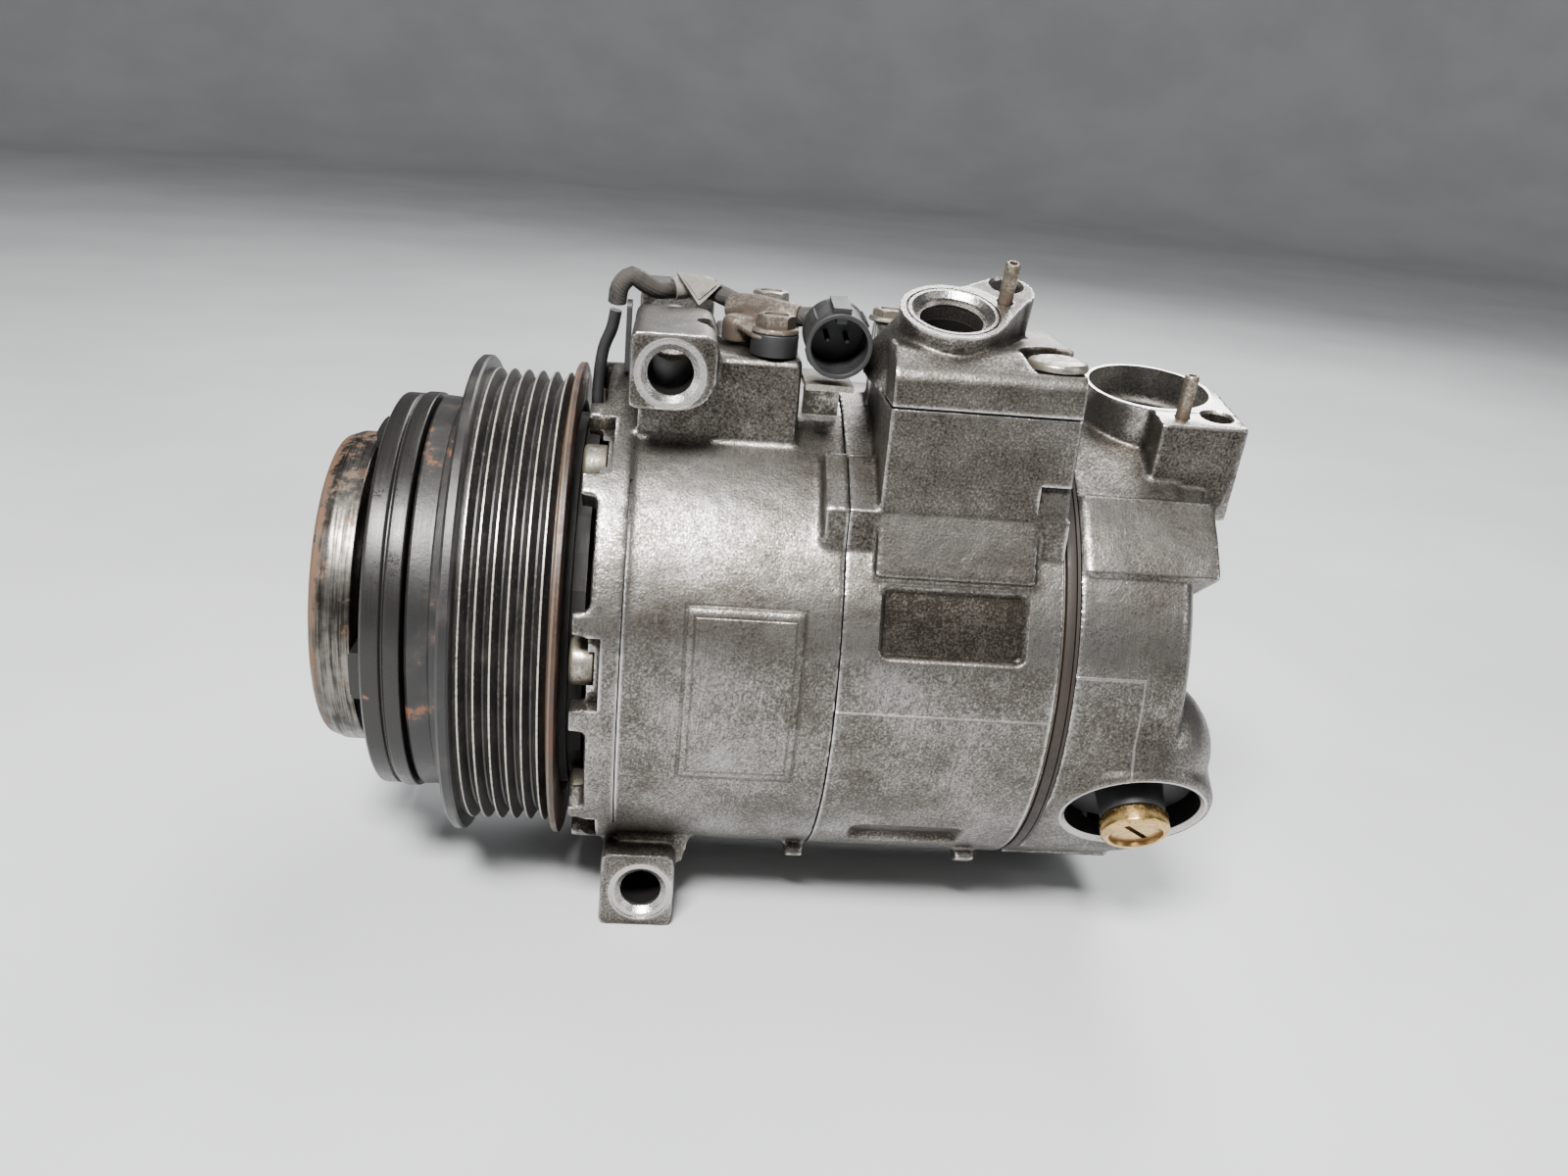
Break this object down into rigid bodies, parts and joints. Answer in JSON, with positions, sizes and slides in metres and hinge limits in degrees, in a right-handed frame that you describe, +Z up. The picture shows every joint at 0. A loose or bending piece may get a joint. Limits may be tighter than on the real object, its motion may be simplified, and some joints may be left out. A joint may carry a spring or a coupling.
{
  "type": "automotive ac compressor",
  "caption": "Belt-driven air-conditioning compressor: ribbed clutch pulley, round cast body with mounting bosses, line ports, control valve and wired socket, and swash-plate pistons inside",
  "frame": {"origin": "centre of the bounding box in X and Y, at the lowest point of the lower mounting boss", "axes": "+X along the shaft from the clutch to the rear head, +Z up with the line ports on top, -Y towards the mounting pads' machined faces"},
  "size_m": [0.218, 0.1247, 0.1687],
  "materials": {
    "cast_aluminium": "cast, wire-brushed, stained",
    "bare_steel": "bare, oily",
    "rusty_steel": "worn, light rust",
    "zinc_steel": "zinc plated",
    "black_steel": "black paint, worn",
    "clutch_steel": "dark, satin",
    "brass": "polished",
    "rubber": "matt black",
    "gasket": "rubber-coated steel, brown",
    "black_plastic": "moulded, black",
    "sleeve": "dusty cable sleeve",
    "tape": "dirty grey tape",
    "coil_copper": "varnished coil in a steel case"
  },
  "bodies": {
    "housing": {"front_housing": "cast_aluminium", "cylinder_block": "cast_aluminium", "rear_head": "cast_aluminium", "muffler_cover": "cast_aluminium", "suction_reed_plate": "bare_steel", "valve_plate": "bare_steel", "front_needle_bearing": "bare_steel", "rear_needle_bearing": "bare_steel", "coil_snap_ring": "bare_steel", "pulley_bearing_inner_race": "bare_steel", "bearing_snap_ring": "bare_steel", "control_valve_snap_ring": "bare_steel", "discharge_port_pin": "bare_steel", "suction_port_pin": "bare_steel", "through_bolt_1": "zinc_steel", "through_bolt_2": "zinc_steel", "through_bolt_3": "zinc_steel", "through_bolt_4": "zinc_steel", "through_bolt_5": "zinc_steel", "through_bolt_6": "zinc_steel", "through_bolt_7": "zinc_steel", "muffler_bolt_1": "zinc_steel", "muffler_bolt_2": "zinc_steel", "connector_clip": "zinc_steel", "harness_clamp": "zinc_steel", "clamp_bolt_front": "zinc_steel", "clamp_bolt_rear": "zinc_steel", "control_valve_body": "black_steel", "lead_bracket": "black_steel", "control_valve_adjuster": "brass", "shaft_seal": "rubber", "front_joint_seal": "rubber", "rear_joint_gasket": "gasket", "muffler_gasket": "gasket", "wiring_connector": "black_plastic", "clamp_spacer": "black_plastic", "coil_lead": "black_plastic", "wiring_harness": "sleeve", "cable_tape": "tape", "field_coil": "coil_copper"},
    "pulley": {"pulley": "black_steel", "pulley_bearing_outer_race": "bare_steel"},
    "pulley_cage": {"pulley_bearing_cage": "bare_steel"},
    "shaft": {"drive_shaft": "bare_steel", "hub": "rusty_steel", "hub_damper": "rubber", "hub_cup": "rusty_steel", "hub_nut": "zinc_steel", "spring_plate": "clutch_steel", "lug_plate": "bare_steel"},
    "thrust_cage": {"thrust_bearing_cage": "bare_steel"},
    "armature": {"armature_plate": "clutch_steel"},
    "swash": {"swash_plate": "bare_steel"},
    "piston_1": {"piston_1": "bare_steel"},
    "piston_2": {"piston_2": "bare_steel"},
    "piston_3": {"piston_3": "bare_steel"},
    "piston_4": {"piston_4": "bare_steel"},
    "piston_5": {"piston_5": "bare_steel"},
    "piston_6": {"piston_6": "bare_steel"},
    "piston_7": {"piston_7": "bare_steel"}
  },
  "joints": [
    {"name": "pulley_spin", "type": "hinge", "parent": "housing", "child": "pulley", "pos_m": [-0.0715, 0.00057, 0.0706], "axis": [1, 0, 0], "continuous": true},
    {"name": "pulley_cage_spin", "type": "hinge", "parent": "housing", "child": "pulley_cage", "pos_m": [-0.0715, 0.00057, 0.0706], "axis": [1, 0, 0], "continuous": true},
    {"name": "shaft_spin", "type": "hinge", "parent": "housing", "child": "shaft", "pos_m": [-0.0715, 0.00057, 0.0706], "axis": [1, 0, 0], "continuous": true},
    {"name": "thrust_cage_spin", "type": "hinge", "parent": "housing", "child": "thrust_cage", "pos_m": [-0.0715, 0.00057, 0.0706], "axis": [1, 0, 0], "continuous": true},
    {"name": "clutch_engage", "type": "slide", "parent": "shaft", "child": "armature", "axis": [1, 0, 0], "range_m": [0, 0.0005], "stiffness_N_per_m": 4000},
    {"name": "swash_tilt", "type": "hinge", "parent": "housing", "child": "swash", "pos_m": [0.0055, 0.0124, 0.10776], "axis": [0, 0.9529, -0.3033], "range_deg": [0, 18]},
    {"name": "piston_1_stroke", "type": "slide", "parent": "housing", "child": "piston_1", "axis": [1, 0, 0], "range_m": [-0.00987, 0]},
    {"name": "piston_2_stroke", "type": "slide", "parent": "housing", "child": "piston_2", "axis": [1, 0, 0], "range_m": [-0.00128, 0]},
    {"name": "piston_3_stroke", "type": "slide", "parent": "housing", "child": "piston_3", "axis": [1, 0, 0], "range_m": [-0.00128, 0]},
    {"name": "piston_4_stroke", "type": "slide", "parent": "housing", "child": "piston_4", "axis": [1, 0, 0], "range_m": [-0.00987, 0]},
    {"name": "piston_5_stroke", "type": "slide", "parent": "housing", "child": "piston_5", "axis": [1, 0, 0], "range_m": [-0.02059, 0]},
    {"name": "piston_6_stroke", "type": "slide", "parent": "housing", "child": "piston_6", "axis": [1, 0, 0], "range_m": [-0.02536, 0]},
    {"name": "piston_7_stroke", "type": "slide", "parent": "housing", "child": "piston_7", "axis": [1, 0, 0], "range_m": [-0.02059, 0]}
  ],
  "couplings": [
    {"joint": "pulley_cage_spin", "follows": "pulley_spin", "ratio": 0.549},
    {"joint": "thrust_cage_spin", "follows": "shaft_spin", "ratio": 0.5},
    {"joint": "piston_1_stroke", "follows": "swash_tilt", "m_per_rad": -0.03136},
    {"joint": "piston_2_stroke", "follows": "swash_tilt", "m_per_rad": -0.0039945},
    {"joint": "piston_3_stroke", "follows": "swash_tilt", "m_per_rad": -0.0039945},
    {"joint": "piston_4_stroke", "follows": "swash_tilt", "m_per_rad": -0.03136},
    {"joint": "piston_5_stroke", "follows": "swash_tilt", "m_per_rad": -0.065485},
    {"joint": "piston_6_stroke", "follows": "swash_tilt", "m_per_rad": -0.080672},
    {"joint": "piston_7_stroke", "follows": "swash_tilt", "m_per_rad": -0.065485}
  ]
}
